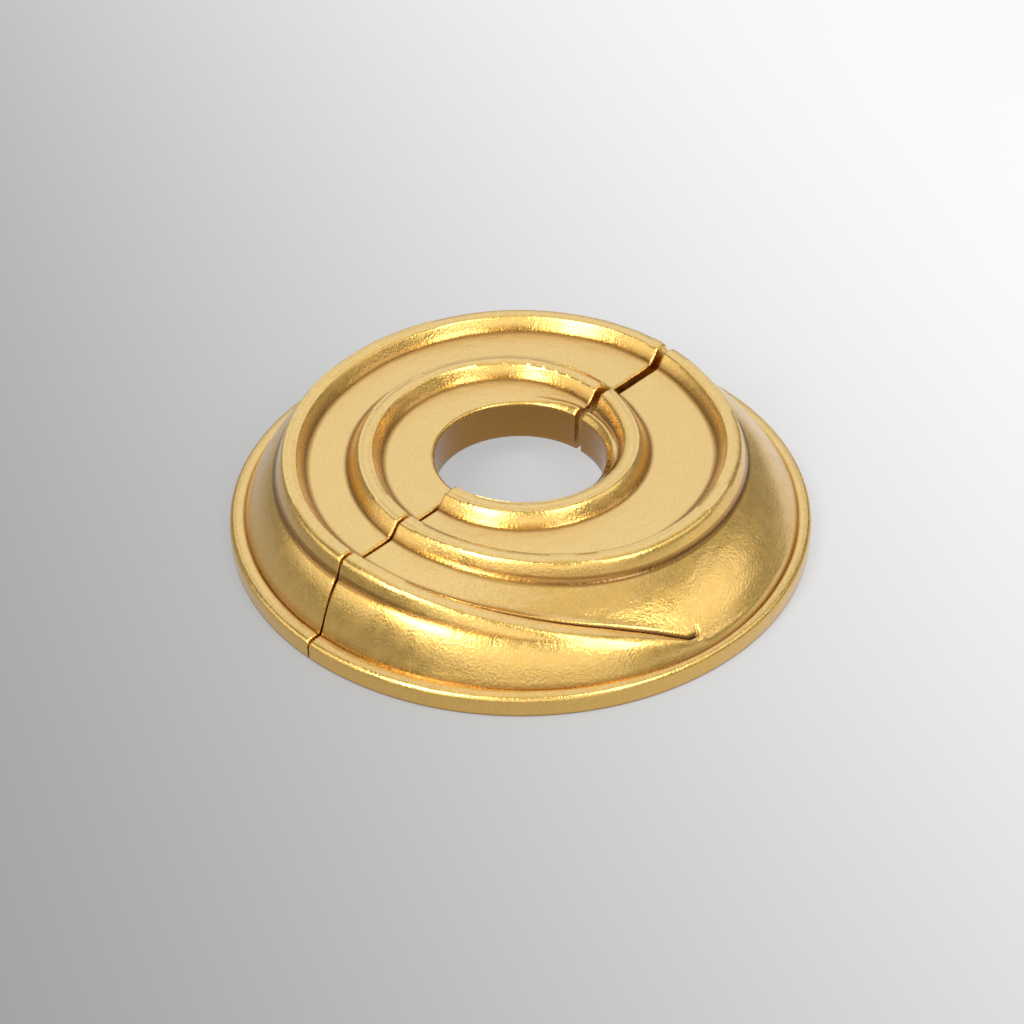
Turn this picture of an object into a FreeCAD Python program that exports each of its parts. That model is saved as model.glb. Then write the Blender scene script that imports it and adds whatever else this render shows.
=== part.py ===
import FreeCAD, Part
import math
import os

import Sketcher

# Split radiator pipe collar, cast in two halves that close round the pipe on two pins.
# X runs along the seam, +Y is the rear half, Z is up, and the origin is on the pipe's
# axis in the plane of the floor.

doc = FreeCAD.newDocument("radiator_pipe_collar")
sheet = doc.addObject("Spreadsheet::Sheet", "Sizes")
sheet.Label = "sizes"

size_rows = [
    ("rim_radius", 59.5, "outside of the collar on the floor"),
    ("bore_radius", 17.5, "hole for a one inch iron pipe, 33.4 across"),
    ("ledge_height", 4.8, "ledge along the top of the rim above the floor"),
    ("rim_edge_drop", 0.4, "outer edge of the rim below the ledge"),
    ("rim_round", 0.6, "rounding of that edge"),
    ("rim_slope_width", 2.0, "width of the slope inside the edge"),
    ("rim_slope_rise", 0.5, "rise of that slope"),
    ("riser_height", 1.4, "step from the ledge up to the foot of the slope"),
    ("riser_width", 0.7, "width of that step"),
    ("flat_height", 16.6, "flat channel between the turns of the ridge"),
    ("ridge_rise", 3.0, "crest of the ridge above the channel"),
    ("crest_width", 2.4, "width of the rounded crest"),
    ("crest_round", 0.25, "middle of the crest above its edges"),
    ("ridge_inner_side", 2.6, "crest to the foot on the pipe's side"),
    ("ridge_outer_side", 3.0, "crest to the foot on the rim's side"),
    ("shoulder_width", 1.8, "width of the quirk outside the last crest"),
    ("shoulder_drop", 4.2, "fall of that quirk"),
    ("bore_lip", 0.8, "rounding of the top edge of the bore"),
    ("hub_foot", 7.2, "lower end of the bore wall above the floor"),
    ("hub_wall", 3.0, "thickness of the bore wall"),
    ("hub_chamfer", 0.6, "chamfer under the bore"),
    ("crown_wall", 3.0, "thickness under the flat channel"),
    ("rim_wall", 5.0, "thickness at the foot of the rim"),
    ("haunch_reach", 25.0, "from the rim in to where the hollow is at full height"),
    ("haunch_reach_knee", 18.5, "from the rim in to the upper bend of the hollow"),
    ("haunch_knee_height", 9.8, "height of the hollow at the upper bend"),
    ("haunch_reach_heel", 9.0, "from the rim in to the lower bend of the hollow"),
    ("haunch_heel_height", 6.0, "height of the hollow at the lower bend"),
    ("inside_fillet", 2.0, "rounding of the corners inside the hollow"),
    ("left_gap", 0.5, "seam opening on the left of the pipe"),
    ("right_gap", 1.8, "seam opening on the right of the pipe"),
    ("pin_offset", 37.0, "each pin from the pipe's axis"),
    ("pin_height", 8.4, "pins above the floor"),
    ("pin_diameter", 4.0, "locating pin"),
    ("pin_seat_depth", 8.0, "pin held in the rear lug"),
    ("pin_reach", 7.0, "pin standing out of the rear lug"),
    ("pin_tip", 0.6, "chamfer on the ends of a pin"),
    ("pin_play", 0.1, "clearance round a pin in its socket"),
    ("seat_play", 0.02, "clearance round a pin in its seat"),
    ("socket_spare", 0.8, "depth of a socket past the pin"),
    ("lug_width", 9.0, "lug under the crown"),
    ("lug_end_wall", 2.4, "metal behind the blind holes"),
]
for row, (name, value, meaning) in enumerate(size_rows, start=1):
    sheet.set("A%d" % row, name)
    sheet.set("B%d" % row, str(value))
    sheet.set("C%d" % row, meaning)
    sheet.setAlias("B%d" % row, name)
doc.recompute()


def size(name):
    return float(sheet.get(name))

# The moulded swirl. One ridge starts on the edge of the bore at the left seam and winds
# outward anticlockwise for 800 degrees, until it runs out on the ledge of the rim.
# Each station is the angle along the ridge and how far out from bore to rim the inner
# edge of its crest is then.
ridge_start = 180.0
ridge_end = 979.0
ridge_stations = [
    (180, 0.040), (225, 0.050), (270, 0.065), (315, 0.092), (340, 0.115), (360, 0.150),
    (380, 0.188), (405, 0.240), (450, 0.275), (500, 0.298), (540, 0.338), (560, 0.357),
    (580, 0.398), (600, 0.455), (620, 0.508), (650, 0.550), (675, 0.580), (700, 0.594),
    (720, 0.624), (740, 0.650), (765, 0.661), (810, 0.645), (855, 0.660), (900, 0.700),
    (930, 0.703), (945, 0.717), (960, 0.771), (970, 0.842), (979, 0.930),
]

# Foot of the outer slope, where it meets the ledge, round the collar.
foot_stations = [
    (-47, 0.932), (0, 0.928), (90, 0.925), (135, 0.925), (180, 0.925),
    (225, 0.935), (259, 0.958), (285, 0.942), (313, 0.932), (360, 0.928),
]

# In front the outermost turn sinks into a leaf whose tip lies on the rim.
tip_margin = 1.6        # the leaf's edge stays this far inside the foot
leaf_edge_left = 0.15   # share of the ridge's rise that the edge keeps at the tip
sag_lead = 1.2          # the channel has sunk into the slope a little before the tip
relax_turn = 60.0       # degrees past the tip in which the rows spread out again,
relax_share = 0.4       # and how far in from the foot the last of them ends up

# How the sides curve.
hollow_power = 1.8      # the inner side steepens toward the crest,
quirk_power = 1.4       # the quirk toward its bottom,
belly_power = 2.2       # and the belly toward the foot,
belly_start = 0.55      # where it starts with this share of its mean steepness

# How the surface is laid out: degrees between its sections, degrees and millimetres that
# it runs past the seam and the edges, and the room it keeps between its rows at the tip.
section_turn = 5.0
tip_section_turn = 2.0
tip_turns = (236.0, 280.0)
past_seam = 4.0
past_edge = 1.5
tip_room = 5.0


def smooth_step(share):
    share = min(max(share, 0.0), 1.0)
    return share * share * (3.0 - 2.0 * share)


def along(stations, angle):
    angle = min(max(angle, stations[0][0]), stations[-1][0])
    last = len(stations) - 1
    index = 0
    while index < last - 1 and angle > stations[index + 1][0]:
        index += 1

    def slope(place):
        before = max(place - 1, 0)
        after = min(place + 1, last)
        rise = stations[after][1] - stations[before][1]
        return rise / (stations[after][0] - stations[before][0])

    (start, first), (stop, second) = stations[index], stations[index + 1]
    span = stop - start
    share = (angle - start) / span
    square, cube = share ** 2, share ** 3
    return ((2 * cube - 3 * square + 1) * first + (cube - 2 * square + share) * span * slope(index)
            + (3 * square - 2 * cube) * second + (cube - square) * span * slope(index + 1))


def radius_at(share):
    return size("bore_radius") + share * (size("rim_radius") - size("bore_radius"))


def ridge_radius(angle):
    return radius_at(along(ridge_stations, angle))


def foot_radius(angle):
    return radius_at(along(foot_stations, angle % 360 if angle >= 0 else angle))


def ridge_share(offset):
    # height of the ridge, as a share of its rise, this far out from its crest's inner edge
    width = size("crest_width")
    if offset < 0:
        return max(1.0 + offset / size("ridge_inner_side"), 0.0) ** hollow_power
    return 1.0 - smooth_step((offset - width) / size("ridge_outer_side"))


def crest_crown(offset):
    # how far the rounded crest has fallen from its middle
    middle = 0.5 * size("crest_width")
    return size("crest_round") * min(abs(offset / middle - 1.0), 1.0) ** 2


def outer_slope(radius, crest, top, drop, foot):
    # outside a crest: the quirk, the long belly, then the riser down to the ledge
    belly_foot = foot - size("riser_width")
    room = max(belly_foot - crest, 0.1)
    narrow = min(room / (2.0 * (size("crest_width") + size("shoulder_width"))), 1.0)
    edge = crest + narrow * size("crest_width")
    quirk = edge + narrow * size("shoulder_width")
    low = size("ledge_height") + size("riser_height")
    if radius <= quirk:
        return top - drop * max((radius - edge) / (quirk - edge), 0.0) ** quirk_power
    if radius <= belly_foot:
        out = (radius - quirk) / (belly_foot - quirk)
        curve = belly_start * out + (1.0 - belly_start) * out ** belly_power
        return top - drop - (top - drop - low) * curve
    return low - size("riser_height") * smooth_step((radius - belly_foot) / size("riser_width"))


class Section:
    # One radial cut through the swirl at an angle from 0 to 360.
    # The rear half has two turns of the ridge. The front half has a third one at the
    # bore, and its outermost turn sinks and runs out on the ledge.
    tip_angle = ridge_end - 720.0

    def __init__(self, angle, front):
        self.foot = foot_radius(angle)
        self.flat = size("flat_height")
        self.leaf = 1.0
        self.sag = 0.0
        if front:
            self.crests = [ridge_radius(angle), ridge_radius(angle + 360)]
            before_tip = angle < self.tip_angle
            if before_tip:
                outer = min(ridge_radius(angle + 720), self.foot - tip_margin)
                turned = (angle - ridge_start) / (self.tip_angle - ridge_start)
                self.sag = smooth_step(turned * sag_lead)
                self.leaf = 1.0 - (1.0 - leaf_edge_left) * smooth_step(turned)
            else:
                past = smooth_step((angle - self.tip_angle) / relax_turn)
                spread = relax_share * (self.foot - self.crests[1])
                outer = self.foot - tip_margin - past * (spread - tip_margin)
                self.leaf = 0.0
                self.sag = 1.0
            self.crests.append(outer)
            self.rises = [1.0, 1.0, self.leaf]
        else:
            middle = ridge_radius(angle + 360)
            self.crests = [0.5 * (size("bore_radius") + middle), middle, ridge_radius(angle + 720)]
            self.rises = [0.0, 1.0, 1.0]

    def channel(self, radius):
        # flat with the inner two turns of the ridge, and sunk into the slope outside them
        inner, middle, outer = self.crests
        rise = size("ridge_rise")
        plain = self.flat + rise * max(self.rises[0] * ridge_share(radius - inner),
                                       ridge_share(radius - middle))
        if radius <= middle or self.sag == 0.0:
            return plain
        fallen = outer_slope(radius, middle, self.flat + rise, size("shoulder_drop"), self.foot)
        return plain + self.sag * (fallen - plain)

    def height(self, radius):
        if radius >= self.foot:
            return size("ledge_height")
        rise = size("ridge_rise")
        outer = self.crests[2]
        offset = radius - outer
        if self.leaf == 0.0:
            base = self.channel(radius)
        elif offset <= 0:
            base = self.channel(radius) + self.leaf * rise * ridge_share(offset)
        else:
            top = self.channel(outer) + self.leaf * rise
            base = outer_slope(radius, outer, top, self.leaf * size("shoulder_drop"), self.foot)
        for crest, share in zip(self.crests, self.rises):
            if 0 < radius - crest < size("crest_width"):
                base -= share * crest_crown(radius - crest)
        lip = size("bore_lip")
        inward = max(size("bore_radius") + lip - radius, 0.0)
        return base - inward ** 2 / (2.0 * lip)

    def points(self, angle):
        bore, rim = size("bore_radius"), size("rim_radius")
        outer = min(self.crests[2], self.foot - tip_room)
        stops = [bore, bore + size("bore_lip"), *self.crests[:2], outer,
                 self.foot - size("riser_width"), self.foot, rim]
        steps = [3, 5, 16, 16, 14, 3, 3]
        radii = [stops[0] - past_edge]
        for start, stop, count in zip(stops, stops[1:], steps):
            radii += [start + (stop - start) * step / count for step in range(count)]
        radii += [stops[-1], stops[-1] + past_edge]
        turn = math.radians(angle)
        return [FreeCAD.Vector(r * math.cos(turn), r * math.sin(turn), self.height(r))
                for r in radii]


def swirl_cutter(name, first, last, front):
    # everything above the swirl over one half, taken off the plain casting
    angles = [first - past_seam]
    while angles[-1] < last + past_seam:
        near_tip = front and tip_turns[0] <= angles[-1] < tip_turns[1]
        turn = tip_section_turn if near_tip else section_turn
        angles.append(min(angles[-1] + turn, last + past_seam))
    rows = []
    for angle in angles:
        held = min(max(angle, first), last)
        rows.append(Section(held, front).points(angle))
    surface = Part.BSplineSurface()
    surface.interpolate(rows)
    cutter = doc.addObject("Part::Feature", name)
    cutter.Label = name
    cutter.Shape = surface.toShape().extrude(FreeCAD.Vector(0, 0, 2.0 * size("flat_height")))
    cutter.Placement = FreeCAD.Placement()
    return cutter


def origin_plane(body, role):
    return next(item for item in body.Origin.OriginFeatures if item.Role == role)


def new_body(name):
    body = doc.addObject("PartDesign::Body", name)
    body.Label = name
    return body


def new_sketch(body, name, plane):
    sketch = body.newObject("Sketcher::SketchObject", name)
    sketch.AttachmentSupport = [(origin_plane(body, plane), "")]
    sketch.MapMode = "FlatFace"
    return sketch


sketch_x, sketch_y, sketch_origin = (-1,), (-2,), (-1, 1)


def tie(sketch, geometry, point, across, up):
    # Binds a point's distances from the origin to the sheet. A formula that starts with
    # a minus sign lies on the negative side, and "0" lies on the axis.
    for kind, formula, axis in (("DistanceX", across, sketch_y), ("DistanceY", up, sketch_x)):
        if formula == "0":
            sketch.addConstraint(Sketcher.Constraint("PointOnObject", geometry, point, *axis))
            continue
        ends = (*sketch_origin, geometry, point)
        if formula.startswith("-"):
            ends = (geometry, point, *sketch_origin)
            formula = formula[1:]
        number = sketch.addConstraint(Sketcher.Constraint(kind, *ends, 1.0))
        sketch.setExpression("Constraints[%d]" % number, formula)


def polygon(sketch, corners):
    # A closed outline whose corners are pairs of formulas. They start on a circle.
    count = len(corners)
    reach = size("pin_offset")
    for index in range(count):
        start, stop = (2.0 * math.pi * (index + step) / count for step in (0, 1))
        sketch.addGeometry(Part.LineSegment(
            FreeCAD.Vector(reach * math.cos(start), reach * math.sin(start), 0),
            FreeCAD.Vector(reach * math.cos(stop), reach * math.sin(stop), 0)))
    for index in range(count):
        sketch.addConstraint(Sketcher.Constraint(
            "Coincident", index, 2, (index + 1) % count, 1))
    for index, (across, up) in enumerate(corners):
        tie(sketch, index, 1, across, up)


def circular_edges(shape, radius, height):
    names = []
    for number, edge in enumerate(shape.Edges, start=1):
        curve = edge.Curve
        if (isinstance(curve, Part.Circle) and abs(curve.Radius - radius) < 0.01
                and abs(curve.Center.z - height) < 0.01):
            names.append("Edge%d" % number)
    return names


stock_top = "Sizes.flat_height + 2 * Sizes.ridge_rise"
ceiling = "Sizes.flat_height - Sizes.crown_wall"
hub_outside = "Sizes.bore_radius + Sizes.hub_wall"
rim_edge = "Sizes.ledge_height - Sizes.rim_edge_drop"


def plain_half(name, side):
    # Half of the round casting before the swirl is cut: side is 1 at the rear, -1 in front.
    body = new_body(name)
    section = new_sketch(body, name + "_section", "XZ_Plane")
    polygon(section, [
        ("Sizes.bore_radius", "Sizes.hub_foot + Sizes.hub_chamfer"),
        ("Sizes.bore_radius + Sizes.hub_chamfer", "Sizes.hub_foot"),
        (hub_outside, "Sizes.hub_foot"),
        (hub_outside, ceiling),
        ("Sizes.rim_radius - Sizes.haunch_reach", ceiling),
        ("Sizes.rim_radius - Sizes.haunch_reach_knee", "Sizes.haunch_knee_height"),
        ("Sizes.rim_radius - Sizes.haunch_reach_heel", "Sizes.haunch_heel_height"),
        ("Sizes.rim_radius - Sizes.rim_wall", "0"),
        ("Sizes.rim_radius", "0"),
        ("Sizes.rim_radius", rim_edge),
        ("Sizes.rim_radius - Sizes.rim_slope_width", rim_edge + " + Sizes.rim_slope_rise"),
        ("Sizes.rim_radius - Sizes.rim_slope_width", stock_top),
        ("Sizes.bore_radius", stock_top),
    ])
    turned = body.newObject("PartDesign::Revolution", name + "_turned")
    turned.Profile = section
    turned.ReferenceAxis = (section, ["V_Axis"])
    turned.Angle = 180.0
    turned.Reversed = side < 0
    doc.recompute()

    rounded = body.newObject("PartDesign::Fillet", name + "_rim")
    rounded.Base = (turned, circular_edges(
        turned.Shape, size("rim_radius"), size("ledge_height") - size("rim_edge_drop")))
    rounded.setExpression("Radius", "Sizes.rim_round")
    doc.recompute()

    corners = body.newObject("PartDesign::Fillet", name + "_hollow")
    top = size("flat_height") - size("crown_wall")
    hub = size("bore_radius") + size("hub_wall")
    haunch = size("rim_radius") - size("haunch_reach")
    corners.Base = (rounded, circular_edges(rounded.Shape, hub, top)
                    + circular_edges(rounded.Shape, haunch, top))
    corners.setExpression("Radius", "Sizes.inside_fillet")
    doc.recompute()
    return body


def lug_outline(sketch, side):
    # upright sides into the crown and a round bottom about the pin
    middle = side * size("pin_offset")
    half = size("lug_width") / 2
    foot, top = size("pin_height"), size("flat_height")
    corners = [(middle - half, foot), (middle - half, top), (middle + half, top),
               (middle + half, foot)]
    for start, stop in zip(corners, corners[1:]):
        sketch.addGeometry(Part.LineSegment(
            FreeCAD.Vector(*start, 0), FreeCAD.Vector(*stop, 0)))
    round_bottom = Part.Circle(
        FreeCAD.Vector(middle, foot, 0), FreeCAD.Vector(0, 0, 1), half)
    sketch.addGeometry(Part.ArcOfCircle(round_bottom, math.pi, 2.0 * math.pi))
    for first, end, second, start in ((0, 2, 1, 1), (1, 2, 2, 1), (2, 2, 3, 2), (3, 1, 0, 1)):
        sketch.addConstraint(Sketcher.Constraint("Coincident", first, end, second, start))
    for line, direction in ((0, "Vertical"), (1, "Horizontal"), (2, "Vertical")):
        sketch.addConstraint(Sketcher.Constraint(direction, line))
    for end in (1, 2):
        sketch.addConstraint(Sketcher.Constraint("Horizontal", 3, end, 3, 3))
    number = sketch.addConstraint(Sketcher.Constraint("Radius", 3, half))
    sketch.setExpression("Constraints[%d]" % number, "Sizes.lug_width / 2")
    number = sketch.addConstraint(Sketcher.Constraint("DistanceY", *sketch_origin, 0, 2, top))
    sketch.setExpression("Constraints[%d]" % number, ceiling + " + Sizes.crown_wall / 2")
    tie(sketch, 3, 3, "Sizes.pin_offset" if side > 0 else "-Sizes.pin_offset",
        "Sizes.pin_height")


def add_lugs(body, side, hole_depth, hole_diameter):
    # A lug under the crown at each end of the seam, with a blind hole for a pin.
    lug_length = hole_depth + " + Sizes.lug_end_wall"
    for place, end, centre in (("left", -1, "-Sizes.pin_offset"), ("right", 1, "Sizes.pin_offset")):
        name = body.Name + "_" + place
        outline = new_sketch(body, name + "_lug_outline", "XZ_Plane")
        lug_outline(outline, end)
        lug = body.newObject("PartDesign::Pad", name + "_lug")
        lug.Profile = outline
        lug.Reversed = side > 0
        lug.setExpression("Length", lug_length)
        doc.recompute()

        ring = new_sketch(body, name + "_hole_outline", "XZ_Plane")
        diameter = size("pin_diameter")
        middle = FreeCAD.Vector(end * size("pin_offset"), size("pin_height"), 0)
        ring.addGeometry(Part.Circle(middle, FreeCAD.Vector(0, 0, 1), diameter / 2))
        tie(ring, 0, 3, centre, "Sizes.pin_height")
        number = ring.addConstraint(Sketcher.Constraint("Diameter", 0, diameter))
        ring.setExpression("Constraints[%d]" % number, hole_diameter)
        hole = body.newObject("PartDesign::Pocket", name + "_hole")
        hole.Profile = ring
        hole.Reversed = side < 0
        hole.setExpression("Length", hole_depth)
        doc.recompute()


def open_seam(body, side):
    # the two halves don't quite close, and the seam is wider on the right
    for place, sign, gap in (("left", "-", "Sizes.left_gap"), ("right", "", "Sizes.right_gap")):
        strip = new_sketch(body, body.Name + "_" + place + "_seam_outline", "XY_Plane")
        edge = gap + " / 2" if side > 0 else "-" + gap + " / 2"
        polygon(strip, [
            ("0", "0"),
            (sign + "Sizes.rim_radius", "0"),
            (sign + "Sizes.rim_radius", edge),
            ("0", edge),
        ])
        seam = body.newObject("PartDesign::Pocket", body.Name + "_" + place + "_seam")
        seam.Profile = strip
        seam.Reversed = True
        seam.Type = "ThroughAll"
        doc.recompute()


def cast_half(name, side, hole_depth, hole_diameter):
    plain = plain_half(name + "_plain", side)
    add_lugs(plain, side, hole_depth, hole_diameter)
    open_seam(plain, side)
    front = side < 0
    first, last = (180.0, 360.0) if front else (0.0, 180.0)
    casting = doc.addObject("Part::Cut", name)
    casting.Label = name
    casting.Base = plain
    casting.Tool = swirl_cutter(name + "_swirl", first, last, front)
    return casting


def locating_pin(name, centre):
    # a plain pin with chamfered ends, pressed into the rear lug
    body = new_body(name)
    profile = new_sketch(body, name + "_profile", "XY_Plane")
    half, shy = "Sizes.pin_diameter / 2", "Sizes.pin_diameter / 2 - Sizes.pin_tip"
    polygon(profile, [
        ("0", "Sizes.pin_seat_depth"),
        ("0", "-Sizes.pin_reach"),
        (shy, "-Sizes.pin_reach"),
        (half, "-(Sizes.pin_reach - Sizes.pin_tip)"),
        (half, "Sizes.pin_seat_depth - Sizes.pin_tip"),
        (shy, "Sizes.pin_seat_depth"),
    ])
    turned = body.newObject("PartDesign::Revolution", name + "_turned")
    turned.Profile = profile
    turned.ReferenceAxis = (profile, ["V_Axis"])
    turned.Angle = 360.0
    body.setExpression("Placement.Base.x", centre)
    body.setExpression("Placement.Base.z", "Sizes.pin_height")
    return body


pieces = [
    cast_half("rear_half", 1, "Sizes.pin_seat_depth",
              "Sizes.pin_diameter + 2 * Sizes.seat_play"),
    cast_half("front_half", -1, "Sizes.pin_reach + Sizes.socket_spare",
              "Sizes.pin_diameter + 2 * Sizes.pin_play"),
    locating_pin("left_pin", "-Sizes.pin_offset"),
    locating_pin("right_pin", "Sizes.pin_offset"),
]
doc.recompute()

for item in doc.Objects:
    failed = [state for state in item.State if state in ("Invalid", "Error")]
    if failed:
        raise RuntimeError("%s is %s" % (item.Name, failed))
for piece in pieces:
    shape = piece.Shape
    if shape.isNull() or not shape.isValid() or len(shape.Solids) != 1:
        raise RuntimeError("%s has no sound solid" % piece.Label)

os.makedirs("parts", exist_ok=True)
for piece in pieces:
    piece.Shape.exportStep("parts/%s.step" % piece.Label)
    print(piece.Label, round(piece.Shape.Volume, 1), "cubic mm")
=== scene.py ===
import math

import bmesh
import bpy
import numpy as np
from mathutils import Matrix, Vector, noise


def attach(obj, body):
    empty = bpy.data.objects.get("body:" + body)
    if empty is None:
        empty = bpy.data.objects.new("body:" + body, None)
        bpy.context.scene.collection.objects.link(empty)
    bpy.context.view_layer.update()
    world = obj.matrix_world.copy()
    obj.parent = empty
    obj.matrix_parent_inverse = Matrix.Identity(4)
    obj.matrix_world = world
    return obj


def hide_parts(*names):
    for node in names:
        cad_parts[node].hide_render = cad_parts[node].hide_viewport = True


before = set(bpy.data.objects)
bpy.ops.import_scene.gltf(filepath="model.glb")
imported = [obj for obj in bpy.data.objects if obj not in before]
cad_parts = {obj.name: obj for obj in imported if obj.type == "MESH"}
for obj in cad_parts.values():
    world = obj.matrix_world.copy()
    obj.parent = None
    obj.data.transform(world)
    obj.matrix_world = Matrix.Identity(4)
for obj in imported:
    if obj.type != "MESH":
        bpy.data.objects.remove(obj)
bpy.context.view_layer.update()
mm = 0.001
print("frame loaded")


# The moulded swirl. All sizes from here to the materials are in millimetres.
swirl = {
    "boreRadius": 17.5,
    "rimRadius": 59.5,
    "flatHeight": 16.6,
    "ridgeRise": 3.0,
    "crestWidth": 2.4,
    "crestRound": 0.25,      # middle of the crest above its edges
    "innerSide": 2.6,
    "outerSide": 3.0,
    "shoulderWidth": 1.8,    # the quirk outside the last crest
    "shoulderDrop": 4.2,
    "hollowPower": 1.8,      # how the inner side steepens toward the crest
    "crestEase": 1.35,       # and eases again into the crest
    "quirkPower": 1.4,
    "bellyStart": 0.55,      # the belly's steepness at its top, as a share of its mean
    "bellyPower": 2.2,
    "riserHeight": 1.4,
    "riserWidth": 0.7,
    "ledgeHeight": 4.8,
    "grooveDepth": 0.15,     # fine groove between the ledge and the riser
    "grooveSide": 0.6,
    "creaseDepth": 0.8,      # sharp crease along the inner edge of the leaf
    "creaseSide": 0.45,
    "creaseFade": 12.0,      # the crease is whole where the leaf keeps 1/12 of its rise
    "boreBeadRise": 0.8,     # small roll on the edge of the bore, on the right
    "boreBeadAt": 18.9,
    "boreBeadSide": 1.3,
    "boreBeadAngle": 330.0,
    "boreBeadSpan": 75.0,
    "boreBeadHold": 1.5,     # how much of its span the roll keeps its whole height for
    "tipFade": 0.025,        # the leaf's end, as a share of its length
    "boreLip": 0.8,
    "tipMargin": 1.6,
    "tipRoom": 5.0,
    "sagLead": 1.2,
    "relaxTurn": 60.0,       # degrees past the tip in which the slope draws in again
    "relaxShare": 0.4,
    "leafLeft": 0.07,        # share of its rise that the leaf's edge keeps at the tip
    "leafStart": 180.0,
    "leafTip": 259.0,
    # how far out from bore to rim the crest's inner edge is, along the ridge's 800 degrees
    "ridge": [
        (180, 0.040), (225, 0.050), (270, 0.065), (315, 0.092), (340, 0.115), (360, 0.150),
        (380, 0.188), (405, 0.240), (450, 0.275), (500, 0.298), (540, 0.338), (560, 0.357),
        (580, 0.398), (600, 0.455), (620, 0.508), (650, 0.550), (675, 0.580), (700, 0.594),
        (720, 0.624), (740, 0.650), (765, 0.661), (810, 0.645), (855, 0.660), (900, 0.700),
        (930, 0.703), (945, 0.717), (960, 0.771), (970, 0.842), (979, 0.930),
    ],
    # the foot of the outer slope
    "foot": [
        (-47, 0.932), (0, 0.928), (90, 0.925), (135, 0.925), (180, 0.925),
        (225, 0.935), (259, 0.958), (285, 0.942), (313, 0.932), (360, 0.928),
    ],
}


def smoothStep(share):
    share = np.clip(share, 0.0, 1.0)
    return share * share * (3.0 - 2.0 * share)


def alongStations(stations, angle):
    places = np.array([place for place, value in stations], float)
    values = np.array([value for place, value in stations], float)
    last = len(places) - 1
    before = np.maximum(np.arange(last + 1) - 1, 0)
    after = np.minimum(np.arange(last + 1) + 1, last)
    slopes = (values[after] - values[before]) / (places[after] - places[before])
    angle = np.clip(angle, places[0], places[-1])
    index = np.clip(np.searchsorted(places, angle) - 1, 0, last - 1)
    span = places[index + 1] - places[index]
    share = (angle - places[index]) / span
    square, cube = share ** 2, share ** 3
    return ((2 * cube - 3 * square + 1) * values[index]
            + (cube - 2 * square + share) * span * slopes[index]
            + (3 * square - 2 * cube) * values[index + 1]
            + (cube - square) * span * slopes[index + 1])


def radiusAt(share):
    return swirl["boreRadius"] + share * (swirl["rimRadius"] - swirl["boreRadius"])


def ridgeRadius(angle):
    return radiusAt(alongStations(swirl["ridge"], angle))


def footRadius(angle):
    return radiusAt(alongStations(swirl["foot"], angle))


def ridgeShare(offset):
    # the ridge's height, as a share of its rise, this far outside its crest's inner edge
    inside = np.clip(1.0 + offset / swirl["innerSide"], 0.0, 1.0) ** swirl["hollowPower"]
    inside = 1.0 - (1.0 - inside) ** swirl["crestEase"]
    outside = 1.0 - smoothStep((offset - swirl["crestWidth"]) / swirl["outerSide"])
    return np.where(offset < 0, inside, outside)


def crestCrown(offset):
    middle = 0.5 * swirl["crestWidth"]
    fall = swirl["crestRound"] * np.minimum(np.abs(offset / middle - 1.0), 1.0) ** 2
    return np.where((offset > 0) & (offset < swirl["crestWidth"]), fall, 0.0)


def quirkPlaces(crest, foot):
    # the crest's outer edge and the bottom of the quirk, drawn together where the leaf ends
    whole = swirl["crestWidth"] + swirl["shoulderWidth"]
    narrow = np.minimum(np.maximum(foot - swirl["riserWidth"] - crest, 0.1) / (2.0 * whole), 1.0)
    edge = crest + narrow * swirl["crestWidth"]
    return edge, edge + narrow * swirl["shoulderWidth"]


def outerSlope(radius, crest, top, drop, foot):
    # outside a crest: the quirk, the long belly, then the riser down to the ledge
    edge, quirk = quirkPlaces(crest, foot)
    bellyFoot = foot - swirl["riserWidth"]
    low = swirl["ledgeHeight"] + swirl["riserHeight"]
    inQuirk = np.clip((radius - edge) / (quirk - edge), 0.0, 1.0)
    shoulder = top - drop * inQuirk ** swirl["quirkPower"]
    out = np.clip((radius - quirk) / (bellyFoot - quirk), 0.0, 1.0)
    curve = swirl["bellyStart"] * out + (1.0 - swirl["bellyStart"]) * out ** swirl["bellyPower"]
    belly = top - drop - (top - drop - low) * curve
    riser = low - swirl["riserHeight"] * smoothStep((radius - bellyFoot) / swirl["riserWidth"])
    return np.where(radius <= quirk, shoulder, np.where(radius <= bellyFoot, belly, riser))


def crestRadii(angle, front):
    # the three turns of the ridge across one half, and how far the outermost one
    # has sunk into the leaf
    foot = footRadius(angle)
    if not front:
        middle = ridgeRadius(angle + 360)
        inner = 0.5 * (swirl["boreRadius"] + middle)
        return (inner, middle, ridgeRadius(angle + 720), foot,
                np.zeros_like(angle), np.ones_like(angle))
    inner, middle = ridgeRadius(angle), ridgeRadius(angle + 360)
    turned = (angle - swirl["leafStart"]) / (swirl["leafTip"] - swirl["leafStart"])
    past = smoothStep((angle - swirl["leafTip"]) / swirl["relaxTurn"])
    leafEdge = np.minimum(ridgeRadius(angle + 720), foot - swirl["tipMargin"])
    beyond = foot - swirl["tipMargin"] - past * (swirl["relaxShare"] * (foot - middle)
                                                 - swirl["tipMargin"])
    outer = np.where(turned < 1.0, leafEdge, beyond)
    sag = np.where(turned < 1.0, smoothStep(turned * swirl["sagLead"]), 1.0)
    leaf = 1.0 - (1.0 - swirl["leafLeft"]) * smoothStep(turned)
    ending = swirl["leafLeft"] * np.clip(1.0 - (turned - 1.0) / swirl["tipFade"], 0.0, 1.0)
    return inner, middle, outer, foot, sag, np.where(turned < 1.0, leaf, ending)


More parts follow.
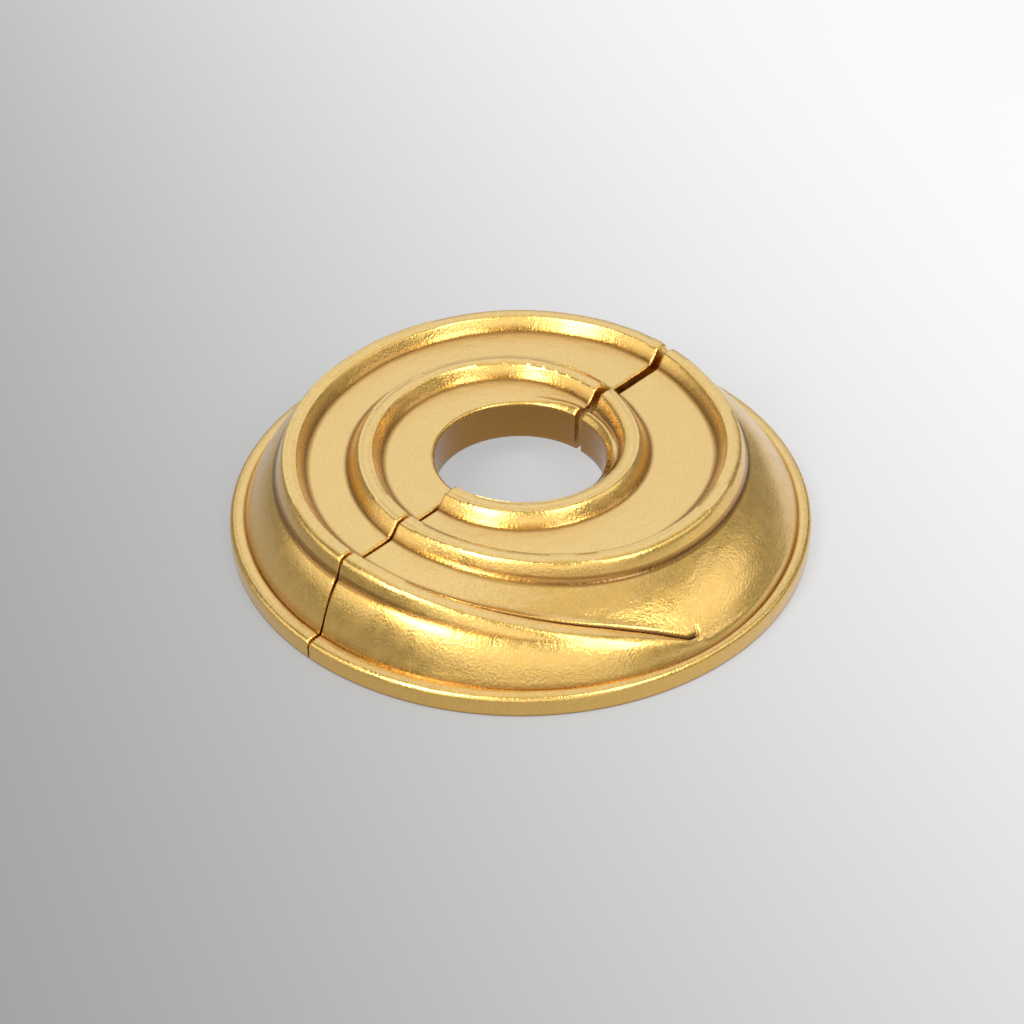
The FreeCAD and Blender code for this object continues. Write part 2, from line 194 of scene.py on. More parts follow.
def surfaceHeight(angle, radius, front):
    inner, middle, outer, foot, sag, leaf = crestRadii(angle, front)
    flat, rise = swirl["flatHeight"], swirl["ridgeRise"]
    boreRise = 1.0 if front else 0.0

    def channel(place):
        plain = flat + rise * np.maximum(boreRise * ridgeShare(place - inner),
                                         ridgeShare(place - middle))
        fallen = outerSlope(place, middle, flat + rise, swirl["shoulderDrop"], foot)
        return np.where(place <= middle, plain, plain + sag * (fallen - plain))

    leafTop = channel(outer) + leaf * rise
    leafSlope = outerSlope(radius, outer, leafTop, leaf * swirl["shoulderDrop"], foot)
    height = channel(radius)
    leafInside = height + leaf * rise * ridgeShare(radius - outer)
    height = np.where(leaf > 0.0, np.where(radius <= outer, leafInside, leafSlope), height)
    for crest, share in ((inner, boreRise), (middle, 1.0), (outer, leaf)):
        height = height - share * crestCrown(radius - crest)
    if front:
        height = height - swirl["creaseDepth"] * creaseShare(radius, outer, leaf)
    apart = np.abs((angle - swirl["boreBeadAngle"] + 180.0) % 360.0 - 180.0)
    beadShare = smoothStep(swirl["boreBeadHold"] * (1.0 - apart / swirl["boreBeadSpan"]))
    beside = np.clip(np.abs(radius - swirl["boreBeadAt"]) / swirl["boreBeadSide"], 0.0, 1.0)
    height = height + swirl["boreBeadRise"] * beadShare * (1.0 - smoothStep(beside))
    height = np.where(radius >= foot, swirl["ledgeHeight"], height)
    beside = np.clip(np.abs(radius - foot) / swirl["grooveSide"], 0.0, 1.0)
    height = height - swirl["grooveDepth"] * (1.0 - beside) ** 2
    pastSlope = np.maximum(radius - (swirl["rimRadius"] - casting["rimSlopeWidth"]), 0.0)
    height = height - pastSlope * casting["rimSlope"]
    inward = np.maximum(swirl["boreRadius"] + swirl["boreLip"] - radius, 0.0)
    return height - inward ** 2 / (2.0 * swirl["boreLip"])


def creaseShare(radius, outer, leaf):
    # the sharp crease inside the leaf's edge, 1 at its bottom
    beside = np.clip(np.abs(radius - outer + swirl["creaseSide"]) / swirl["creaseSide"], 0.0, 1.0)
    return np.minimum(swirl["creaseFade"] * leaf, 1.0) * (1.0 - beside)


def rowStops(angle, front):
    # lines that the rows of the mesh follow: the bore, each ridge's feet and edges, the rim
    inner, middle, outer, foot, _, leaf = crestRadii(angle, front)
    outer = np.where(leaf > 0.0, outer, np.minimum(outer, foot - swirl["tipRoom"]))
    bore = np.full_like(foot, swirl["boreRadius"])
    lines = [bore, bore + swirl["boreLip"]]
    for crest in (inner, middle):
        lines += [crest - swirl["innerSide"], crest, crest + swirl["crestWidth"],
                  crest + swirl["crestWidth"] + swirl["shoulderWidth"],
                  crest + swirl["crestWidth"] + swirl["outerSide"]]
    edge, quirk = quirkPlaces(outer, foot)
    lines += [outer - swirl["innerSide"], outer - 2.0 * swirl["creaseSide"],
              outer - swirl["creaseSide"], outer, edge, quirk, foot - swirl["riserWidth"], foot,
              foot + swirl["grooveSide"],
              np.full_like(foot, swirl["rimRadius"] - casting["rimSlopeWidth"]),
              np.full_like(foot, swirl["rimRadius"] - casting["rimRound"])]
    least = casting["leastStep"]
    for number in range(1, len(lines)):
        lines[number] = np.maximum(lines[number], lines[number - 1] + least)
    for number in range(len(lines) - 2, -1, -1):
        lines[number] = np.minimum(lines[number], lines[number + 1] - least)
    return lines


# The two castings.
casting = {
    "leftGap": 0.5,
    "rightGap": 1.8,
    "edgeRound": 0.6,        # worn edges along the seam
    # columns close beside the seam, by their distance from it, then the far ones
    "seamStrips": [0.0, 0.05, 0.12, 0.22, 0.36, 0.55, 0.85],
    "farFromSeam": 99.0,
    "rimSide": 3.4,
    "rimRound": 1.1,
    "rimSlope": 0.25,
    "rimSlopeWidth": 1.6,
    "underRound": 0.4,
    "columns": 340,
    "rowStep": 0.36,         # greatest distance between rows
    "leastStep": 0.04,
    "underStep": 1.6,        # the same, out of sight
    "curveReach": 0.7,       # how far either side the surface's curve is measured
    "ledgeGroove": 1.2,      # share of the curve that counts there, so the painted shade in the ledge's groove stays faint
    "ledgeCurve": 0.3,       # share of the curve that counts there, to keep it clean
    "creaseCurve": 3.0,
    "lumpHeight": 0.045,
    "lumpLength": 4.5,
    "lumpRadius": 38.0,      # the radius at which the lumps are as long as they are given
    "lumpStretch": 2.6,
    "waveHeight": 0.10,
    "waveLength": 13.0,
    "roughSink": 0.06,
    "roughEdge": 58.0,       # the unevenness ends here, 2 mm from where it starts to fade
    "roughFade": 2.0,
    "lumpPlace": 3.1,        # where in the noise the lumps and the waves are taken
    "wavePlace": 8.7,
    "hubFoot": 7.2,
    "hubWall": 3.0,
    "hubChamfer": 0.6,
    "ceiling": 14.0,
    "lugRise": 1.2,          # how far the lugs reach into the crown
    "insideRound": 2.0,
    # the haunch of the hollow: distance in from the rim and height
    "haunch": [(25.0, 14.0), (18.5, 9.8), (9.0, 6.0), (5.0, 0.0)],
    "pinOffset": 37.0,
    "pinHeight": 8.4,
    "lugWidth": 9.0,
    "lugEndWall": 2.4,
    "seatDepth": 8.0,
    "seatDiameter": 4.04,
    "socketDepth": 7.8,
    "socketDiameter": 4.2,
    "sharpAngle": 72.0,
}


def roundedChain(points, radius, steps=5):
    # the same open line with its inner corners rounded
    line = [points[0]]
    for before, corner, after in zip(points, points[1:], points[2:]):
        corner, before, after = Vector(corner), Vector(before), Vector(after)
        toBefore, toAfter = (before - corner), (after - corner)
        reach = min(radius, 0.45 * toBefore.length, 0.45 * toAfter.length)
        start = corner + toBefore.normalized() * reach
        stop = corner + toAfter.normalized() * reach
        for step in range(steps + 1):
            share = step / steps
            line.append(tuple((1 - share) ** 2 * start + 2 * share * (1 - share) * corner
                              + share ** 2 * stop))
    line.append(points[-1])
    return line


def halfGap(along):
    # half the width of the seam, left or right of the pipe
    return np.where(np.asarray(along) < 0.0, 0.5 * casting["leftGap"], 0.5 * casting["rightGap"])


def columnAngles(radius, front):
    # angles of the columns at each radius, from seam to seam, and their distance from it
    strips = np.array(casting["seamStrips"])
    start = np.degrees(np.arcsin((halfGap(radius)[:, None] + strips) / radius[:, None]))
    stop = 180.0 - np.degrees(np.arcsin((halfGap(-radius)[:, None] + strips) / radius[:, None]))
    count = casting["columns"]
    share = np.arange(1, count)[None, :] / count
    between = start[:, -1:] + share * (stop[:, -1:] - start[:, -1:])
    angles = np.concatenate([start, between, stop[:, ::-1]], axis=1)
    far = np.full(count - 1, casting["farFromSeam"])
    beside = np.concatenate([strips, far, strips[::-1]])
    if front:
        # the same, mirrored through the seam
        angles = 360.0 - angles[:, ::-1]
        beside = beside[::-1]
    return angles, beside


def buildHalf(name, front):
    middleAngle = np.linspace(180.0, 360.0, 181) if front else np.linspace(0.0, 180.0, 181)
    rimStart = swirl["rimRadius"] - casting["rimRound"]
    stops = rowStops(middleAngle, front)
    counts = [max(2, math.ceil(np.max(stop - start) / casting["rowStep"]))
              for start, stop in zip(stops, stops[1:])]
    counts[0] = 5

    # row and column shares first, then where each point lies
    rowShares = []
    for number, count in enumerate(counts):
        rowShares += [(number, step / count) for step in range(count)]
    rowShares.append((len(counts) - 1, 1.0))

    guess = np.full(len(rowShares), 0.0)
    mid = len(middleAngle) // 2
    for row, (number, share) in enumerate(rowShares):
        guess[row] = stops[number][mid] + share * (stops[number + 1][mid] - stops[number][mid])
    angles, beside = columnAngles(guess, front)
    radii = np.zeros_like(angles)
    for row, (number, share) in enumerate(rowShares):
        low = np.interp(angles[row], middleAngle, stops[number])
        high = np.interp(angles[row], middleAngle, stops[number + 1])
        radii[row] = low + share * (high - low)
    # keep the seam columns on the seam after the radii are known
    strips = len(casting["seamStrips"])
    for row in range(len(rowShares)):
        exact, _ = columnAngles(radii[row][[0, -1]], front)
        angles[row, :strips] = exact[0, :strips]
        angles[row, -strips:] = exact[1, -strips:]
    heights = surfaceHeight(angles, radii, front)

    edge = casting["edgeRound"]
    near = np.clip(edge - beside, 0.0, edge)[None, :]
    drop = edge - np.sqrt(edge ** 2 - near ** 2)
    heights = heights - drop

    # how much the surface bends, for the painted shade: above 0 on crests and below 0 in hollows
    step = casting["curveReach"]
    curve = (2 * surfaceHeight(angles, radii, front) - surfaceHeight(angles, radii - step, front)
             - surfaceHeight(angles, np.minimum(radii + step, rimStart), front)) / step
    onLedge = radii > footRadius(angles) - casting["ledgeGroove"]
    curve = np.where(onLedge, casting["ledgeCurve"] * curve, curve)
    if front:
        _, _, outer, _, _, leaf = crestRadii(angles, front)
        # the leaf's crease counts as a sharper hollow, for more painted shade there
        curve = curve - casting["creaseCurve"] * creaseShare(radii, outer, leaf)

    # rim, underside and bore wall as the same columns go round
    rim = swirl["rimRadius"]
    hub = swirl["boreRadius"] + casting["hubWall"]
    under = [(rim, casting["underRound"]), (rim - casting["underRound"], 0.0)]
    under += [(rim - reach, height) for reach, height in reversed(casting["haunch"])]
    under += [(hub, casting["ceiling"]), (hub, casting["hubFoot"]),
              (swirl["boreRadius"] + casting["hubChamfer"], casting["hubFoot"]),
              (swirl["boreRadius"], casting["hubFoot"] + casting["hubChamfer"])]
    rimTop = heights[-1]
    rounding = np.linspace(0.0, 1.0, 7)[1:]
    rows = []
    for share in rounding:
        turn = 0.5 * math.pi * share
        radius = rimStart + casting["rimRound"] * math.sin(turn)
        height = casting["rimSide"] + (rimTop - casting["rimSide"]) * math.cos(turn)
        rows.append((np.full_like(rimTop, radius), height))
    for height in np.linspace(casting["rimSide"], casting["underRound"], 7)[1:-1]:
        rows.append((np.full_like(rimTop, rim), np.full_like(rimTop, height)))
    chain = under[:2] + roundedChain(under[2:], casting["insideRound"])
    dense = []
    for (r0, z0), (r1, z1) in zip(chain, chain[1:]):
        pieces = max(1, math.ceil(math.hypot(r1 - r0, z1 - z0) / casting["underStep"]))
        dense += [(r0 + (r1 - r0) * k / pieces, z0 + (z1 - z0) * k / pieces)
                  for k in range(pieces)]
    dense.append(chain[-1])
    for radius, height in dense:
        rows.append((np.full_like(rimTop, radius), np.full_like(rimTop, height)))
    boreTop = heights[0]
    boreFoot = casting["hubFoot"] + casting["hubChamfer"]
    for share in np.linspace(0.0, 1.0, 13)[1:-1]:
        rows.append((np.full_like(rimTop, swirl["boreRadius"]),
                     boreFoot + share * (boreTop - boreFoot)))

    points, curves, kinds = [], [], []
    topCount = len(rowShares)
    for row in range(topCount):
        points.append(np.stack([radii[row] * np.cos(np.radians(angles[row])),
                                radii[row] * np.sin(np.radians(angles[row])), heights[row]], 1))
        curves.append(curve[row])
        kinds.append(np.zeros_like(curve[row]))
    for number, (radius, height) in enumerate(rows):
        exact, _ = columnAngles(radius[:1], front)
        turn = np.radians(exact[0])
        points.append(np.stack([radius * np.cos(turn), radius * np.sin(turn), height], 1))
        curves.append(np.zeros_like(height))
        onRim = number < len(rounding) + 5
        kinds.append(np.full_like(height, 0.0 if onRim else 1.0))
    points = np.array(points)
    curves, kinds = np.array(curves), np.array(kinds)
    roughen(points, topCount)

    rowCount, columnCount = points.shape[:2]
    mesh = bpy.data.meshes.new(name)
    corners = []
    for row in range(rowCount):
        following = (row + 1) % rowCount
        for column in range(columnCount - 1):
            a, b = row * columnCount + column, row * columnCount + column + 1
            c, d = following * columnCount + column + 1, following * columnCount + column
            corners.append((a, d, c, b))
    firstCap = [row * columnCount for row in range(rowCount)]
    lastCap = [row * columnCount + columnCount - 1 for row in reversed(range(rowCount))]
    corners += [firstCap, lastCap]
    mesh.from_pydata((points.reshape(-1, 3) * mm).tolist(), [], corners)
    for label, values in (("crest", curves), ("rawCast", kinds)):
        layer = mesh.attributes.new(label, "FLOAT", "POINT")
        layer.data.foreach_set("value", values.ravel().astype(np.float32))
    mesh.update()
    half = bpy.data.objects.new(name, mesh)
    bpy.context.scene.collection.objects.link(half)
    return half


def roughen(points, topCount):
    # the unevenness of a sand casting under its gilding, never outward of the rim
    shape = points.shape
    flat = points[:topCount].reshape(-1, 3)
    radius = np.hypot(flat[:, 0], flat[:, 1])
    turn = np.arctan2(flat[:, 1], flat[:, 0])
    length, wave = casting["lumpLength"], casting["waveLength"]
    lumps = np.array([noise.noise(Vector((t * casting["lumpRadius"] / length,
                                          r * casting["lumpStretch"] / length,
                                          casting["lumpPlace"])))
                      for t, r in zip(turn, radius)])
    waves = np.array([noise.noise(Vector((x / wave, y / wave, casting["wavePlace"])))
                      for x, y in flat[:, :2]])
    inside = smoothStep((casting["roughEdge"] - radius) / casting["roughFade"])
    flat[:, 2] += inside * (casting["lumpHeight"] * lumps + casting["waveHeight"] * waves
                            - casting["roughSink"])
    points[:topCount] = flat.reshape(topCount, shape[1], 3)


def lugAndHole(half, side, depth, diameter):
    # lugs under the crown with blind holes for the pins
    for end in (-1, 1):
        start = side * float(halfGap(end))
        stop = side * (depth + casting["lugEndWall"])
        width, height = 0.5 * casting["lugWidth"], casting["pinHeight"]
        lugTop = casting["ceiling"] + casting["lugRise"]
        outline = [(width, lugTop), (-width, lugTop)]
        outline += [(-width * math.cos(t), height - width * math.sin(t))
                    for t in np.linspace(0.0, math.pi, 25)]
        lug = prism("lug", [(end * casting["pinOffset"] + x, z) for x, z in outline], start, stop)
        combine(half, lug, "UNION")
        ring = [(end * casting["pinOffset"] + 0.5 * diameter * math.cos(t),
                 height + 0.5 * diameter * math.sin(t))
                for t in np.linspace(0.0, 2.0 * math.pi, 49)[:-1]]
        hole = prism("hole", ring, -side * 1.0, side * depth)
        combine(half, hole, "DIFFERENCE")


def prism(name, outline, start, stop):
    count = len(outline)
    points = [(x * mm, y * mm, z * mm) for y in (start, stop) for x, z in outline]
    faces = [tuple(range(count)), tuple(range(2 * count - 1, count - 1, -1))]
    faces += [(k, k + count, (k + 1) % count + count, (k + 1) % count) for k in range(count)]
    mesh = bpy.data.meshes.new(name)
    mesh.from_pydata(points, [], faces)
    work = bmesh.new()
    work.from_mesh(mesh)
    bmesh.ops.recalc_face_normals(work, faces=work.faces)
    work.to_mesh(mesh)
    work.free()
    layer = mesh.attributes.new("rawCast", "FLOAT", "POINT")
    layer.data.foreach_set("value", np.ones(len(points), np.float32))
    made = bpy.data.objects.new(name, mesh)
    bpy.context.scene.collection.objects.link(made)
    return made


def combine(target, tool, operation):
    step = target.modifiers.new(operation.lower(), "BOOLEAN")
    step.operation = operation
    step.solver = "MANIFOLD"
    step.object = tool
    graph = bpy.context.evaluated_depsgraph_get()
    made = bpy.data.meshes.new_from_object(target.evaluated_get(graph))
    target.modifiers.clear()
    old = target.data
    target.data = made
    bpy.data.meshes.remove(old)
    bpy.data.objects.remove(tool)


def facesOutward(half):
    work = bmesh.new()
    work.from_mesh(half.data)
    bmesh.ops.recalc_face_normals(work, faces=work.faces)
    work.to_mesh(half.data)
    work.free()


halves = {}
for name, front in (("rearCasting", False), ("frontCasting", True)):
    half = buildHalf(name, front)
    facesOutward(half)
    side = -1 if front else 1
    if front:
        lugAndHole(half, side, casting["socketDepth"], casting["socketDiameter"])
    else:
        lugAndHole(half, side, casting["seatDepth"], casting["seatDiameter"])
    half.data.shade_smooth()
    half.data.set_sharp_from_angle(angle=math.radians(casting["sharpAngle"]))
    halves[name] = half
    print(name, len(half.data.vertices), "vertices", len(half.data.polygons), "faces")


# Materials.
def toLinear(hexColour):
    parts = [int(hexColour[i:i + 2], 16) / 255 for i in (1, 3, 5)]
    return [c / 12.92 if c <= 0.04045 else ((c + 0.055) / 1.055) ** 2.4 for c in parts] + [1.0]


def addNode(tree, kind, settings=None, links=None):
    # one node, its settings by name or socket, and what feeds its sockets
    node = tree.nodes.new(kind)
    for key, value in (settings or {}).items():
        if isinstance(key, str) and hasattr(node, key):
            setattr(node, key, value)
        else:
            node.inputs[key].default_value = value
    for key, source in (links or {}).items():
        tree.links.new(source, node.inputs[key])
    return node


def newMaterial(name):
    material = bpy.data.materials.new(name)
    material.use_nodes = True
    material.node_tree.nodes.clear()
    return material, material.node_tree


gilt = {
    "gold": "#E9BC62",
    # painted light: the paler gold of up-facing flats, also used for a random pale mottle
    "mottleAndLitTopGold": "#F1D18A",
    # painted shade: the browner gold of the hollows
    "hollowShadeGold": "#A87428",
    "rawBrass": "#A67732",
    "creaseShade": "#4E3214",        # painted shade in the sharp creases
    "slopeRoughness": 0.27,
    "flatRoughness": 0.42,
    "grain": 0.55,
    "lacquer": 0.6,
    "lacquerRoughness": 0.15,
    "patch": 3.0,
    "streakAcross": 0.9,     # brush and mould streaks run across the slopes
    "streakAlong": 9.0,
    "streakRadius": 40.0,    # where the streaks are as wide as they are given
}


def polarPlace(tree, place):
    # the distance round the collar and the distance out, as a place for the streaks
    parts = addNode(tree, "ShaderNodeSeparateXYZ", {}, {"Vector": place})
    turn = addNode(tree, "ShaderNodeMath", {"operation": "ARCTAN2"},
                   {0: parts.outputs["Y"], 1: parts.outputs["X"]})
    wayRound = addNode(tree, "ShaderNodeMath",
                       {"operation": "MULTIPLY", 1: gilt["streakRadius"] / gilt["streakAcross"]},
                       {0: turn.outputs["Value"]})
    flat = addNode(tree, "ShaderNodeCombineXYZ", {},
                   {"X": parts.outputs["X"], "Y": parts.outputs["Y"]})
    length = addNode(tree, "ShaderNodeVectorMath", {"operation": "LENGTH"},
                     {0: flat.outputs["Vector"]})
    wayOut = addNode(tree, "ShaderNodeMath",
                     {"operation": "MULTIPLY", 1: 1.0 / (gilt["streakAlong"] * mm)},
                     {0: length.outputs["Value"]})
    return addNode(tree, "ShaderNodeCombineXYZ", {},
                   {"X": wayRound.outputs["Value"], "Y": wayOut.outputs["Value"]}).outputs["Vector"]


def giltBrass():
    # gold paint over a sand casting: satin on the slopes and matt on the flats, with painted light
    # paling the up-facing flats, painted shade browning the hollows and darkening the sharp
    # creases, and bare cast brass below, with a fine grain, a random pale mottle and soft streaks
    material, tree = newMaterial("giltCastBrass")
    place = addNode(tree, "ShaderNodeTexCoord").outputs["Object"]
    crest = addNode(tree, "ShaderNodeAttribute", {"attribute_name": "crest"})
    raw = addNode(tree, "ShaderNodeAttribute", {"attribute_name": "rawCast"})
    grain = addNode(tree, "ShaderNodeTexNoise",
                    {"Scale": 1.0 / (gilt["grain"] * mm), "Detail": 2.0, "Roughness": 0.6},
                    {"Vector": place})
    patch = addNode(tree, "ShaderNodeTexNoise",
                    {"Scale": 1.0 / (gilt["patch"] * mm), "Detail": 2.0, "Roughness": 0.5},
                    {"Vector": place})
    streak = addNode(tree, "ShaderNodeTexNoise", {"Scale": 1.0, "Detail": 2.0, "Roughness": 0.5},
                     {"Vector": polarPlace(tree, place)})
    # painted shade: the hollows turn browner the more the surface bends inward
    hollow = addNode(tree, "ShaderNodeMapRange",
                     {"From Min": -0.06, "From Max": -0.7, "To Min": 0.0, "To Max": 0.85},
                     {"Value": crest.outputs["Fac"]})
    geometry = addNode(tree, "ShaderNodeNewGeometry")
    upward = addNode(tree, "ShaderNodeSeparateXYZ", {}, {"Vector": geometry.outputs["Normal"]})
    flat = addNode(tree, "ShaderNodeMapRange",
                   {"From Min": 0.94, "From Max": 0.995, "To Min": 0.0, "To Max": 1.0},
                   {"Value": upward.outputs["Z"]})
    mottled = addNode(tree, "ShaderNodeMapRange",
                      {"From Min": 0.35, "From Max": 0.65, "To Min": -0.45, "To Max": 0.45},
                      {"Value": grain.outputs["Fac"]})
    # painted light: up-facing flats get the paler gold as if lit from above, on top of a random
    # pale mottle from the grain
    mottleAndLitTop = addNode(tree, "ShaderNodeMath", {"operation": "ADD", "use_clamp": True},
                       {0: flat.outputs["Result"], 1: mottled.outputs["Result"]})
    base = addNode(tree, "ShaderNodeMix", {"data_type": "RGBA", 6: toLinear(gilt["gold"]),
                                           7: toLinear(gilt["mottleAndLitTopGold"])},
                   {0: mottleAndLitTop.outputs["Value"]})
    hollowShaded = addNode(tree, "ShaderNodeMix", {"data_type": "RGBA", 7: toLinear(gilt["hollowShadeGold"])},
                   {0: hollow.outputs["Result"], 6: base.outputs[2]})
    # painted shade: the sharp creases, the leaf's crease most, turn dark brown
    sharp = addNode(tree, "ShaderNodeMapRange",
                    {"From Min": -1.2, "From Max": -2.8, "To Min": 0.0, "To Max": 0.85},
                    {"Value": crest.outputs["Fac"]})
    creaseShaded = addNode(tree, "ShaderNodeMix", {"data_type": "RGBA", 7: toLinear(gilt["creaseShade"])},
                    {0: sharp.outputs["Result"], 6: hollowShaded.outputs[2]})
    colour = addNode(tree, "ShaderNodeMix", {"data_type": "RGBA", 7: toLinear(gilt["rawBrass"])},
                     {0: raw.outputs["Fac"], 6: creaseShaded.outputs[2]})
    matt = addNode(tree, "ShaderNodeMapRange",
                   {"To Min": gilt["slopeRoughness"], "To Max": gilt["flatRoughness"]},
                   {"Value": flat.outputs["Result"]})
    uneven = addNode(tree, "ShaderNodeMapRange",
                     {"From Min": 0.3, "From Max": 0.7, "To Min": -0.05, "To Max": 0.06},
                     {"Value": patch.outputs["Fac"]})
    roughness = addNode(tree, "ShaderNodeMath", {"operation": "ADD"},
                        {0: matt.outputs["Result"], 1: uneven.outputs["Result"]})
    small = addNode(tree, "ShaderNodeBump", {"Strength": 0.85, "Distance": 0.09 * mm},
                    {"Height": grain.outputs["Fac"]})
    large = addNode(tree, "ShaderNodeBump", {"Strength": 0.5, "Distance": 0.10 * mm},
                    {"Height": patch.outputs["Fac"], "Normal": small.outputs["Normal"]})
    brushed = addNode(tree, "ShaderNodeBump", {"Strength": 0.4, "Distance": 0.06 * mm},
                      {"Height": streak.outputs["Fac"], "Normal": large.outputs["Normal"]})
    shader = addNode(tree, "ShaderNodeBsdfPrincipled",
                     {"Metallic": 1.0, "Coat Weight": gilt["lacquer"],
                      "Coat Roughness": gilt["lacquerRoughness"]},
                     {"Base Color": colour.outputs[2], "Roughness": roughness.outputs["Value"],
                      "Normal": brushed.outputs["Normal"]})
    addNode(tree, "ShaderNodeOutputMaterial", {}, {"Surface": shader.outputs["BSDF"]})
    return material


pinSteel = {"colour": "#A9A7A2", "roughness": 0.32, "uneven": 0.08, "scratch": 0.25}


def drawnSteel():
    # bright drawn steel rod, with fine lines round it from drawing
    material, tree = newMaterial("drawnSteel")
    place = addNode(tree, "ShaderNodeTexCoord")
    stretch = addNode(tree, "ShaderNodeMapping", {"Scale": (1.0, 0.05, 1.0)},
                      {"Vector": place.outputs["Object"]})
    lines = addNode(tree, "ShaderNodeTexNoise",
                    {"Scale": 1.0 / (pinSteel["scratch"] * mm), "Detail": 2.0},
                    {"Vector": stretch.outputs["Vector"]})
    roughness = addNode(tree, "ShaderNodeMapRange",
                        {"To Min": pinSteel["roughness"] - pinSteel["uneven"],
                         "To Max": pinSteel["roughness"] + pinSteel["uneven"]},
                        {"Value": lines.outputs["Fac"]})
    bump = addNode(tree, "ShaderNodeBump", {"Strength": 0.2, "Distance": 0.02 * mm},
                   {"Height": lines.outputs["Fac"]})
    shader = addNode(tree, "ShaderNodeBsdfPrincipled",
                     {"Metallic": 1.0, "Base Color": toLinear(pinSteel["colour"])},
                     {"Roughness": roughness.outputs["Result"], "Normal": bump.outputs["Normal"]})
    addNode(tree, "ShaderNodeOutputMaterial", {}, {"Surface": shader.outputs["BSDF"]})
    return material


giltMaterial = giltBrass()
for piece, body, node in (("rearCasting", "rear", "rear_half"),
                          ("frontCasting", "front", "front_half")):
    half = halves[piece]
    half.data.materials.clear()
    half.data.materials.append(giltMaterial)
    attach(half, body)
    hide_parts(node)
steel = drawnSteel()
for name in ("left_pin", "right_pin"):
    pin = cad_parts[name]
    pin.data.materials.clear()
    pin.data.materials.append(steel)
print("materials made")


# Floor, light and camera. Places and sizes are in metres here.
studio = {
    "floorSize": 6.0,
    "floorDark": "#8C8C8C",
    "floorLight": "#F8F8F8",
    "gradientAlong": (0.934, -0.358, 0.0),
    "gradientFrom": -0.21,     # metres from the middle to the dark and to the light end
    "gradientTo": 0.20,
    "floorGlow": 0.75,         # share of the floor's colour that the lamps don't change
    "worldGrey": "#9C9C9C",
    "worldStrength": 1.0,
    "cameraTurn": 223.0,       # the camera's own azimuth, in degrees from the X axis
}


def floorPaper():
    # pale background paper, darker at the left, as the photograph has it
    material, tree = newMaterial("backgroundPaper")
    place = addNode(tree, "ShaderNodeNewGeometry")
    turned = addNode(tree, "ShaderNodeVectorMath",
                     {"operation": "DOT_PRODUCT", 1: studio["gradientAlong"]},
                     {0: place.outputs["Position"]})
    share = addNode(tree, "ShaderNodeMapRange",
                    {"interpolation_type": "SMOOTHSTEP", "From Min": studio["gradientFrom"],
                     "From Max": studio["gradientTo"]},
                    {"Value": turned.outputs["Value"]})
    colour = addNode(tree, "ShaderNodeMix", {"data_type": "RGBA", 6: toLinear(studio["floorDark"]),
                                             7: toLinear(studio["floorLight"])},
                     {0: share.outputs["Result"]})
    paper = addNode(tree, "ShaderNodeBsdfDiffuse", {}, {"Color": colour.outputs[2]})
    glow = addNode(tree, "ShaderNodeEmission", {}, {"Color": colour.outputs[2]})
    ray = addNode(tree, "ShaderNodeLightPath")
    seen = addNode(tree, "ShaderNodeMath", {"operation": "MAXIMUM"},
                   {0: ray.outputs["Is Camera Ray"], 1: ray.outputs["Is Glossy Ray"]})
    amount = addNode(tree, "ShaderNodeMath", {"operation": "MULTIPLY", 1: studio["floorGlow"]},
                     {0: seen.outputs["Value"]})
    mixed = addNode(tree, "ShaderNodeMixShader", {},
                    {0: amount.outputs["Value"], 1: paper.outputs["BSDF"],
                     2: glow.outputs["Emission"]})
    addNode(tree, "ShaderNodeOutputMaterial", {}, {"Surface": mixed.outputs["Shader"]})
    return material


def addFloor():
    reach = 0.5 * studio["floorSize"]
    mesh = bpy.data.meshes.new("floor")
    corners = [(-reach, -reach, 0), (reach, -reach, 0), (reach, reach, 0), (-reach, reach, 0)]
    mesh.from_pydata(corners, [], [(0, 1, 2, 3)])
    mesh.materials.append(floorPaper())
    floor = bpy.data.objects.new("floor", mesh)
    bpy.context.scene.collection.objects.link(floor)


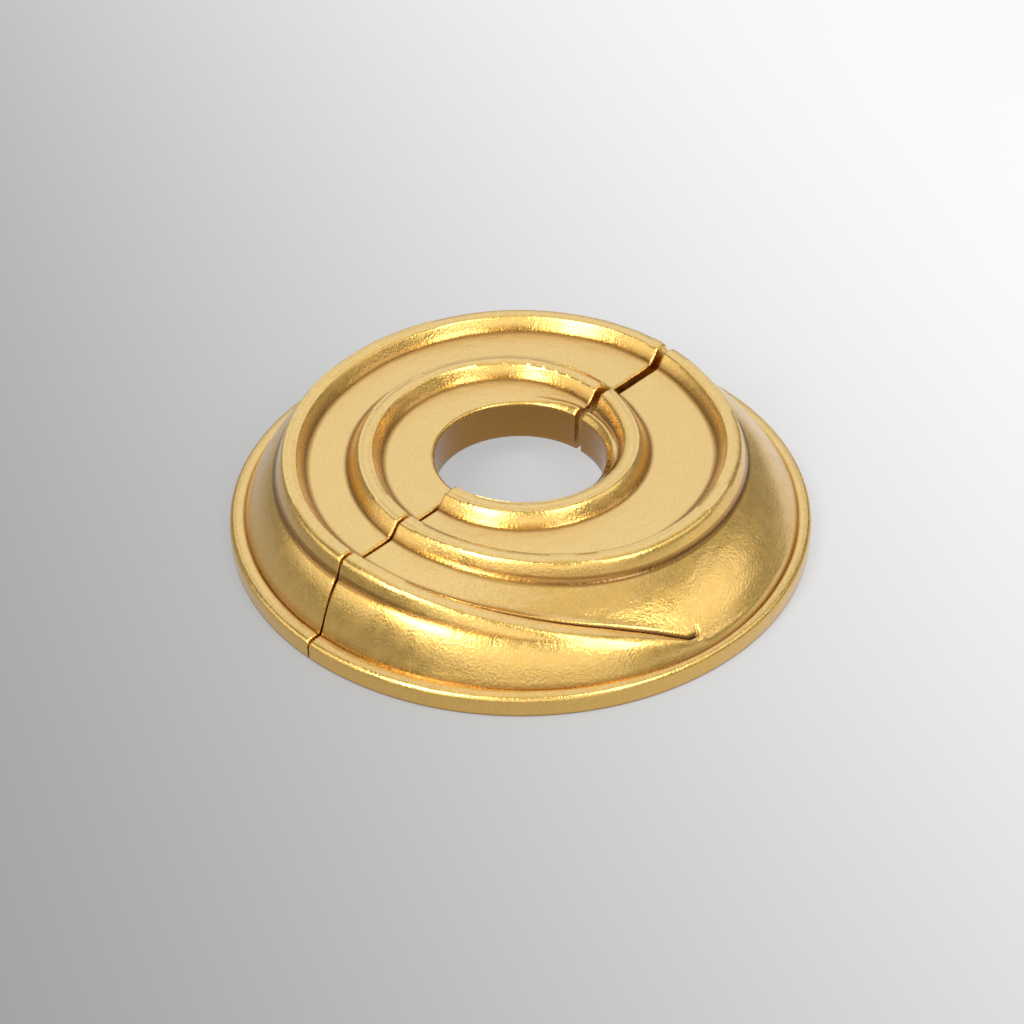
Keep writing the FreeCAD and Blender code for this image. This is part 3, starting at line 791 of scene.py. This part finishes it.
def addLamp(name, place, size, watts, target=(0.0, 0.0, 0.01)):
    lamp = bpy.data.lights.new(name, "AREA")
    lamp.shape = "RECTANGLE"
    lamp.size, lamp.size_y = size
    lamp.energy = watts
    made = bpy.data.objects.new(name, lamp)
    made.location = place
    made.rotation_euler = (Vector(target) - Vector(place)).to_track_quat("-Z", "Y").to_euler()
    bpy.context.scene.collection.objects.link(made)


def around(azimuth, elevation, distance):
    # a place seen from the collar, with the azimuth turned anticlockwise from the camera
    turn, lift = math.radians(studio["cameraTurn"] + azimuth), math.radians(elevation)
    return (distance * math.cos(turn) * math.cos(lift), distance * math.sin(turn) * math.cos(lift),
            distance * math.sin(lift))


addFloor()
lamps = [
    ("overhead", around(180, 80, 0.8), (0.7, 0.7), 0.8),
    ("nearLeft", around(-38, 44, 0.7), (0.24, 0.36), 3.2),
    ("nearRight", around(44, 48, 0.7), (0.24, 0.30), 1.6),
    ("farRight", around(92, 38, 0.8), (0.40, 0.40), 0.55),
    ("leftFill", around(-80, 22, 0.9), (0.8, 0.5), 1.1),
    ("frontFill", around(0, 24, 1.1), (1.6, 0.7), 3.1),
    ("backWall", around(180, 39, 1.0), (1.2, 0.8), 1.85),
]
for lamp in lamps:
    addLamp(*lamp)

world = bpy.data.worlds.new("studio")
world.use_nodes = True
world.node_tree.nodes["Background"].inputs["Color"].default_value = toLinear(studio["worldGrey"])
world.node_tree.nodes["Background"].inputs["Strength"].default_value = studio["worldStrength"]
bpy.context.scene.world = world

camera = {
    "place": (-0.27061, -0.25235, 0.29944),
    "right": (0.68367, -0.72979, -0.00298),
    "up": (0.45944, 0.42722, 0.77872),
    "forward": (0.56703, 0.53375, -0.62737),
    "lens": 81.06,
}
lens = bpy.data.cameras.new("camera")
lens.sensor_width = 36.0
lens.lens = camera["lens"]
lens.clip_start, lens.clip_end = 0.01, 20.0
view = bpy.data.objects.new("camera", lens)
right, up, forward = (Vector(camera[key]) for key in ("right", "up", "forward"))
view.matrix_world = Matrix.Translation(camera["place"]) @ Matrix(
    (right, up, -forward)).transposed().to_4x4()
bpy.context.scene.collection.objects.link(view)
bpy.context.scene.camera = view

bpy.context.scene.view_settings.view_transform = "Standard"
print("studio ready")
